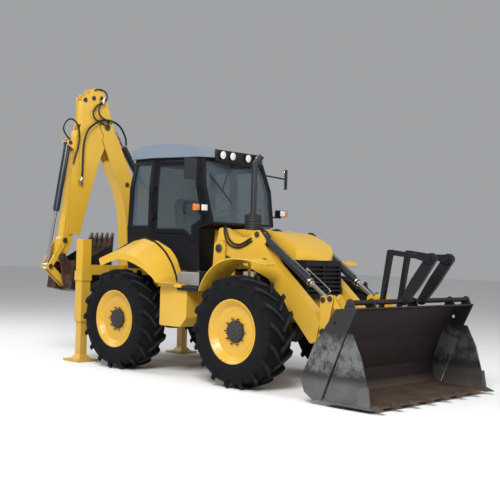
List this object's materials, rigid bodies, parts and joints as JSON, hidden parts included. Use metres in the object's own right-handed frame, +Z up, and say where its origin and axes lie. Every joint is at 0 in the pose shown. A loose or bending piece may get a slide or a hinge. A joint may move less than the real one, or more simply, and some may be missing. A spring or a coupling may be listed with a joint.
{
  "type": "backhoe loader",
  "caption": "Wheeled backhoe loader with a glazed cab, a front bucket that opens, folding forks, and a side-shifting digging arm folded upright at the rear.",
  "frame": {"origin": "middle of the bounding box of the whole machine, on the ground", "axes": "+X forwards towards the loader bucket, +Y to the machine's left, +Z up"},
  "size_m": [6.0844, 2.513, 4.0099],
  "materials": {
    "black_paint": "satin",
    "cast_block": "cast",
    "chromed_rod": "polished",
    "roof_plastic": "satin",
    "stack_steel": "heat stained",
    "tinted_glass": "tinted",
    "trim_plastic": "grained",
    "tyre_rubber": "dusty",
    "worn_steel": "scraped, rusty",
    "yellow_paint": "gloss enamel, worn"
  },
  "bodies": {
    "chassis": {"main_frame": "black_paint", "engine_block": "cast_block", "nose_grille": "trim_plastic", "rear_cowl": "yellow_paint", "exhaust_stack": "stack_steel", "side_tanks": "yellow_paint", "front_axle": "black_paint", "rear_axle": "black_paint", "cab_frame": "black_paint", "cab_roof": "roof_plastic", "cab_glass": "tinted_glass", "cab_interior": "trim_plastic", "rear_fenders": "yellow_paint", "lamps_and_mirrors": "trim_plastic", "backhoe_frame": "black_paint"},
    "hood": {"hood": "yellow_paint"},
    "door_left": {"cab_door_left": "black_paint", "door_glass_left": "tinted_glass"},
    "door_right": {"cab_door_right": "black_paint", "door_glass_right": "tinted_glass"},
    "loader_arms": {"loader_arms": "yellow_paint"},
    "lift_barrels": {"lift_barrels": "black_paint"},
    "lift_rods": {"lift_rods": "chromed_rod"},
    "tilt_barrels": {"tilt_barrels": "black_paint"},
    "tilt_rods": {"tilt_rods": "chromed_rod"},
    "bell_cranks": {"bell_cranks": "yellow_paint"},
    "bucket_links": {"bucket_links": "yellow_paint"},
    "loader_bucket": {"loader_bucket": "worn_steel"},
    "bucket_clam": {"bucket_clam": "worn_steel"},
    "fork_arms": {"fork_arms": "black_paint"},
    "fork_tines": {"fork_tines": "worn_steel"},
    "stabiliser_left": {"stabiliser_leg_left": "yellow_paint"},
    "stabiliser_right": {"stabiliser_leg_right": "yellow_paint"},
    "carriage": {"backhoe_carriage": "black_paint"},
    "swing_post": {"swing_post": "black_paint"},
    "boom": {"boom": "yellow_paint"},
    "boom_ram_barrel": {"boom_ram_barrel": "black_paint"},
    "boom_ram_rod": {"boom_ram_rod": "chromed_rod"},
    "dipper": {"dipper": "yellow_paint"},
    "dipper_ram_barrel": {"dipper_ram_barrel": "black_paint"},
    "dipper_ram_rod": {"dipper_ram_rod": "chromed_rod"},
    "dipper_extension": {"dipper_extension": "black_paint"},
    "hoe_bucket": {"hoe_bucket": "worn_steel"},
    "hoe_rocker": {"hoe_rocker": "yellow_paint"},
    "hoe_link": {"hoe_link": "yellow_paint"},
    "bucket_ram_barrel": {"bucket_ram_barrel": "black_paint"},
    "bucket_ram_rod": {"bucket_ram_rod": "chromed_rod"},
    "front_left_knuckle": {"front_left_knuckle": "yellow_paint"},
    "front_left_wheel": {"front_left_tyre": "tyre_rubber", "front_left_rim": "yellow_paint"},
    "front_right_knuckle": {"front_right_knuckle": "yellow_paint"},
    "front_right_wheel": {"front_right_tyre": "tyre_rubber", "front_right_rim": "yellow_paint"},
    "rear_left_knuckle": {"rear_left_knuckle": "black_paint"},
    "rear_left_wheel": {"rear_left_tyre": "tyre_rubber", "rear_left_rim": "yellow_paint"},
    "rear_right_knuckle": {"rear_right_knuckle": "black_paint"},
    "rear_right_wheel": {"rear_right_tyre": "tyre_rubber", "rear_right_rim": "yellow_paint"}
  },
  "joints": [
    {"name": "steer_front_left", "type": "hinge", "parent": "chassis", "child": "front_left_knuckle", "pos_m": [0.87775, 0.7825, 0.668], "axis": [0, 0, 1], "range_deg": [-15, 15]},
    {"name": "wheel_front_left", "type": "hinge", "parent": "front_left_knuckle", "child": "front_left_wheel", "pos_m": [0.87775, 0.9825, 0.668], "axis": [0, 1, 0], "continuous": true},
    {"name": "steer_front_right", "type": "hinge", "parent": "chassis", "child": "front_right_knuckle", "pos_m": [0.87775, -0.6975, 0.668], "axis": [0, 0, 1], "range_deg": [-15, 15]},
    {"name": "wheel_front_right", "type": "hinge", "parent": "front_right_knuckle", "child": "front_right_wheel", "pos_m": [0.87775, -0.8975, 0.668], "axis": [0, 1, 0], "continuous": true},
    {"name": "steer_rear_left", "type": "hinge", "parent": "chassis", "child": "rear_left_knuckle", "pos_m": [-1.32225, 0.7825, 0.668], "axis": [0, 0, 1], "range_deg": [-15, 15]},
    {"name": "wheel_rear_left", "type": "hinge", "parent": "rear_left_knuckle", "child": "rear_left_wheel", "pos_m": [-1.32225, 0.9825, 0.668], "axis": [0, 1, 0], "continuous": true},
    {"name": "steer_rear_right", "type": "hinge", "parent": "chassis", "child": "rear_right_knuckle", "pos_m": [-1.32225, -0.6975, 0.668], "axis": [0, 0, 1], "range_deg": [-15, 15]},
    {"name": "wheel_rear_right", "type": "hinge", "parent": "rear_right_knuckle", "child": "rear_right_wheel", "pos_m": [-1.32225, -0.8975, 0.668], "axis": [0, 1, 0], "continuous": true},
    {"name": "loader_lift", "type": "hinge", "parent": "chassis", "child": "loader_arms", "pos_m": [0.06775, 0.0425, 1.65], "axis": [0, -1, 0], "range_deg": [-2, 80]},
    {"name": "lift_ram_pivot", "type": "hinge", "parent": "chassis", "child": "lift_barrels", "pos_m": [0.23775, 0.0425, 0.8], "axis": [0, -1, 0], "range_deg": [-0.92, 35.9]},
    {"name": "lift_ram_stroke", "type": "slide", "parent": "lift_barrels", "child": "lift_rods", "axis": [0.6445, 0, 0.7646], "range_m": [-0.019, 0.716]},
    {"name": "bucket_tilt", "type": "hinge", "parent": "loader_arms", "child": "loader_bucket", "pos_m": [2.05075, 0.0425, 0.398], "axis": [0, -1, 0], "range_deg": [-105, 35]},
    {"name": "bell_crank_pivot", "type": "hinge", "parent": "loader_arms", "child": "bell_cranks", "pos_m": [1.78475, 0.0425, 0.712], "axis": [0, -1, 0], "range_deg": [-105, 35]},
    {"name": "bucket_link_pivot", "type": "hinge", "parent": "bell_cranks", "child": "bucket_links", "pos_m": [1.87775, 0.0425, 1.1], "axis": [0, -1, 0], "range_deg": [-35, 105]},
    {"name": "tilt_ram_pivot", "type": "hinge", "parent": "loader_arms", "child": "tilt_barrels", "pos_m": [0.69775, 0.0425, 1.83], "axis": [0, -1, 0], "range_deg": [-0.16, 0.07]},
    {"name": "tilt_ram_stroke", "type": "slide", "parent": "tilt_barrels", "child": "tilt_rods", "axis": [0.8232, 0, -0.5678], "range_m": [-0.166, 0.494]},
    {"name": "clam_opening", "type": "hinge", "parent": "loader_bucket", "child": "bucket_clam", "pos_m": [2.48675, 0.0425, 0.743], "axis": [0, -1, 0], "range_deg": [0, 60]},
    {"name": "fork_arm_pivot", "type": "hinge", "parent": "loader_bucket", "child": "fork_arms", "pos_m": [2.61975, 0.0425, 1.107], "axis": [0, -1, 0], "range_deg": [-40, 3]},
    {"name": "fork_tine_pivot", "type": "hinge", "parent": "fork_arms", "child": "fork_tines", "pos_m": [2.95775, 0.0425, 1.59], "axis": [0, 1, 0], "range_deg": [0, 165]},
    {"name": "hood_hinge", "type": "hinge", "parent": "chassis", "child": "hood", "pos_m": [0.57775, 0.0425, 1.89], "axis": [0, -1, 0], "range_deg": [0, 45]},
    {"name": "door_left_hinge", "type": "hinge", "parent": "chassis", "child": "door_left", "pos_m": [-0.98025, 0.8575, 1.345], "axis": [0, 0, 1], "range_deg": [0, 80]},
    {"name": "door_right_hinge", "type": "hinge", "parent": "chassis", "child": "door_right", "pos_m": [-0.98025, -0.7725, 1.345], "axis": [0, 0, -1], "range_deg": [0, 80]},
    {"name": "stabiliser_left_slide", "type": "slide", "parent": "chassis", "child": "stabiliser_left", "axis": [0, 0, 1], "range_m": [-0.08, 0.4]},
    {"name": "stabiliser_right_slide", "type": "slide", "parent": "chassis", "child": "stabiliser_right", "axis": [0, 0, 1], "range_m": [-0.08, 0.4]},
    {"name": "carriage_side_shift", "type": "slide", "parent": "chassis", "child": "carriage", "axis": [0, -1, 0], "range_m": [0, 0.9]},
    {"name": "backhoe_swing", "type": "hinge", "parent": "carriage", "child": "swing_post", "pos_m": [-2.74225, 0.4925, 0.9], "axis": [0, 0, -1], "range_deg": [0, 180]},
    {"name": "boom_pivot", "type": "hinge", "parent": "swing_post", "child": "boom", "pos_m": [-2.74225, 0.2775, 0.95], "axis": [1, 0, 0], "range_deg": [0, 112]},
    {"name": "boom_ram_pivot", "type": "hinge", "parent": "swing_post", "child": "boom_ram_barrel", "pos_m": [-2.74225, 0.5125, 1.4], "axis": [-1, 0, 0], "range_deg": [-108.87, 0.02]},
    {"name": "boom_ram_stroke", "type": "slide", "parent": "boom_ram_barrel", "child": "boom_ram_rod", "axis": [0, -0.3019, 0.9533], "range_m": [-0.001, 0.836]},
    {"name": "dipper_pivot", "type": "hinge", "parent": "boom", "child": "dipper", "pos_m": [-2.74225, -0.2855, 3.442], "axis": [-1, 0, 0], "range_deg": [0, 122]},
    {"name": "dipper_ram_pivot", "type": "hinge", "parent": "boom", "child": "dipper_ram_barrel", "pos_m": [-2.74225, 0.6925, 2.42], "axis": [-1, 0, 0], "range_deg": [-0.02, 10.81]},
    {"name": "dipper_ram_stroke", "type": "slide", "parent": "dipper_ram_barrel", "child": "dipper_ram_rod", "axis": [0, -0.5989, 0.8008], "range_m": [-0.726, 0.001]},
    {"name": "dipper_telescope", "type": "slide", "parent": "dipper", "child": "dipper_extension", "axis": [0, -0.1219, -0.9925], "range_m": [0, 1]},
    {"name": "hoe_bucket_pivot", "type": "hinge", "parent": "dipper_extension", "child": "hoe_bucket", "pos_m": [-2.74225, -1.0185, 1.462], "axis": [-1, 0, 0], "range_deg": [-4, 145]},
    {"name": "hoe_rocker_pivot", "type": "hinge", "parent": "dipper_extension", "child": "hoe_rocker", "pos_m": [-2.74225, -0.9775, 1.708], "axis": [-1, 0, 0], "range_deg": [-3.13, 110.06]},
    {"name": "hoe_link_pivot", "type": "hinge", "parent": "hoe_rocker", "child": "hoe_link", "pos_m": [-2.74225, -1.2125, 1.33], "axis": [-1, 0, 0], "range_deg": [-39.69, 1.19]},
    {"name": "bucket_ram_pivot", "type": "hinge", "parent": "dipper_extension", "child": "bucket_ram_barrel", "pos_m": [-2.74225, -0.9175, 3.14], "axis": [-1, 0, 0], "range_deg": [-0.38, 12.92]},
    {"name": "bucket_ram_stroke", "type": "slide", "parent": "bucket_ram_barrel", "child": "bucket_ram_rod", "axis": [0, -0.1609, -0.987], "range_m": [-0.67, 0.02]}
  ],
  "couplings": [
    {"joint": "steer_front_right", "follows": "steer_front_left", "ratio": 1},
    {"joint": "steer_rear_left", "follows": "steer_front_left", "ratio": -1},
    {"joint": "steer_rear_right", "follows": "steer_front_left", "ratio": -1},
    {"joint": "lift_ram_pivot", "follows": "loader_lift", "ratio": 0.44847},
    {"joint": "lift_ram_stroke", "follows": "loader_lift", "m_per_rad": 0.51181},
    {"joint": "bell_crank_pivot", "follows": "bucket_tilt", "ratio": 1},
    {"joint": "bucket_link_pivot", "follows": "bucket_tilt", "ratio": -1},
    {"joint": "tilt_ram_pivot", "follows": "bucket_tilt", "ratio": 0.00125},
    {"joint": "tilt_ram_stroke", "follows": "bucket_tilt", "m_per_rad": -0.26877},
    {"joint": "boom_ram_pivot", "follows": "boom_pivot", "ratio": -0.97187},
    {"joint": "boom_ram_stroke", "follows": "boom_pivot", "m_per_rad": 0.42671},
    {"joint": "dipper_ram_pivot", "follows": "dipper_pivot", "ratio": 0.08839},
    {"joint": "dipper_ram_stroke", "follows": "dipper_pivot", "m_per_rad": -0.34034},
    {"joint": "hoe_rocker_pivot", "follows": "hoe_bucket_pivot", "ratio": 0.75836},
    {"joint": "hoe_link_pivot", "follows": "hoe_bucket_pivot", "ratio": -0.27303},
    {"joint": "bucket_ram_pivot", "follows": "hoe_bucket_pivot", "ratio": 0.08892},
    {"joint": "bucket_ram_stroke", "follows": "hoe_bucket_pivot", "m_per_rad": -0.26414}
  ]
}
